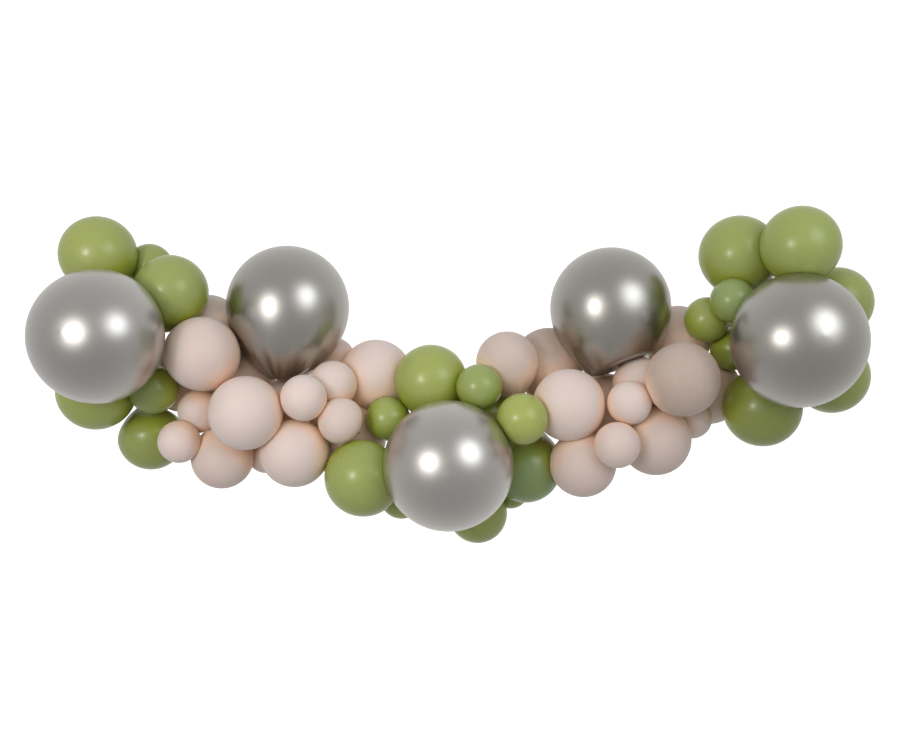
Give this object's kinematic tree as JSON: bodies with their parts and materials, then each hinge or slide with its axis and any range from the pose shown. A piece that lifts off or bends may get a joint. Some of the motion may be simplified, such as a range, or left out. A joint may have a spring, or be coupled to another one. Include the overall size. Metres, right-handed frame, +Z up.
{
  "type": "balloon garland",
  "caption": "Swag of round balloons in silver chrome, olive green and blush, large and small, pressed together and made to be fixed flat on a wall",
  "frame": {"origin": "On the wall, in the middle of the flat that the rear green balloon near the middle of the garland presses on it", "axes": "+X runs along the garland, to the viewer's right from the front; +Y goes into the wall, so the garland stands out towards -Y; +Z is up"},
  "size_m": [2.1972, 0.5671, 0.9018],
  "materials": {
    "chrome_latex": "silver chrome, satin metallic",
    "green_latex": "olive green, satin",
    "blush_latex": "blush, matt"
  },
  "bodies": {
    "root": {"blush_left_back": "blush_latex", "blush_left_back_high": "blush_latex", "blush_left_back_low": "blush_latex", "blush_left_bottom": "blush_latex", "blush_left_front": "blush_latex", "blush_left_inner": "blush_latex", "blush_left_low": "blush_latex", "blush_left_outer": "blush_latex", "blush_left_small_back": "blush_latex", "blush_left_small_bottom": "blush_latex", "blush_left_small_deep": "blush_latex", "blush_left_small_front": "blush_latex", "blush_left_small_high": "blush_latex", "blush_left_small_inner": "blush_latex", "blush_left_small_outer": "blush_latex", "blush_left_small_rear": "blush_latex", "blush_left_small_upper": "blush_latex", "blush_right_back": "blush_latex", "blush_right_back_high": "blush_latex", "blush_right_back_outer": "blush_latex", "blush_right_back_upper": "blush_latex", "blush_right_bottom": "blush_latex", "blush_right_front": "blush_latex", "blush_right_inner": "blush_latex", "blush_right_low": "blush_latex", "blush_right_outer": "blush_latex", "blush_right_small_lower": "blush_latex", "blush_right_small_outer": "blush_latex", "blush_right_small_rear": "blush_latex", "blush_right_small_upper": "blush_latex", "chrome_centre": "chrome_latex", "chrome_left": "chrome_latex", "chrome_left_middle": "chrome_latex", "chrome_right": "chrome_latex", "chrome_right_middle": "chrome_latex", "green_centre_back": "green_latex", "green_centre_bottom": "green_latex", "green_centre_left": "green_latex", "green_centre_right": "green_latex", "green_centre_small_back": "green_latex", "green_centre_small_left": "green_latex", "green_centre_small_low": "green_latex", "green_centre_small_right": "green_latex", "green_centre_small_top": "green_latex", "green_centre_top": "green_latex", "green_left_bottom": "green_latex", "green_left_inner": "green_latex", "green_left_outer": "green_latex", "green_left_small_back": "green_latex", "green_left_small_inner": "green_latex", "green_left_top": "green_latex", "green_right_bottom": "green_latex", "green_right_inner": "green_latex", "green_right_low": "green_latex", "green_right_outer": "green_latex", "green_right_small_back": "green_latex", "green_right_small_inner": "green_latex", "green_right_small_lower": "green_latex", "green_right_small_upper": "green_latex", "green_right_top": "green_latex"}
  },
  "joints": []
}
